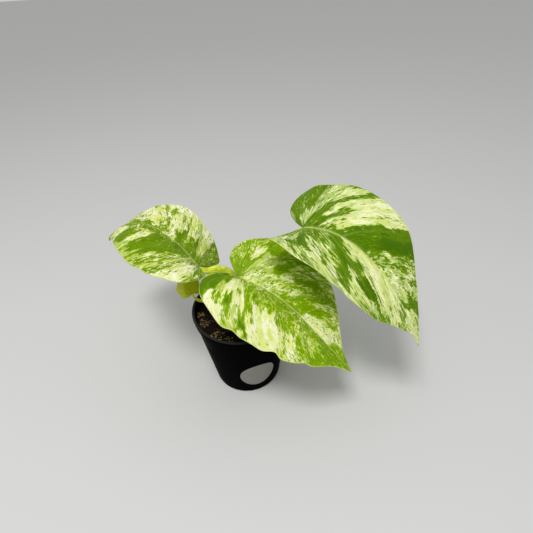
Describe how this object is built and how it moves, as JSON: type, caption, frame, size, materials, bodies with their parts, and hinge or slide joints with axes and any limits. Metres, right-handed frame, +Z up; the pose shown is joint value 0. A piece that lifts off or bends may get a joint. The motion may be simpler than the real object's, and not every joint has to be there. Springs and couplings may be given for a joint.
{
  "type": "potted marble queen pothos",
  "caption": "Young trailing houseplant with cream and green marbled heart-shaped leaves, growing in a small tapered round nursery pot that stands on its base.",
  "frame": {"origin": "middle of the pot's base on the surface it stands on", "axes": "+Z up out of the pot, +X towards the right leaf as the picture shows the plant, -Y towards the viewer and the label's side"},
  "size_m": [0.1991, 0.1176, 0.1169],
  "materials": {
    "pot": "black moulded plastic with a soft sheen",
    "soil": "loose dark potting mix with bark and coir chunks",
    "label": "plain matt white sticker",
    "stem": "smooth yellow-green petioles, flecked with cream",
    "leaf": "satin leaf, marbled cream, lime and mid green along its side veins",
    "young_leaf": "thin pale olive leaf with faint stripes"
  },
  "bodies": {
    "root": {"pot": "pot", "soil": "soil", "label": "label", "stem": "stem", "leaf_left": "leaf", "leaf_middle": "leaf", "leaf_right": "leaf", "leaf_young": "young_leaf"}
  },
  "joints": []
}
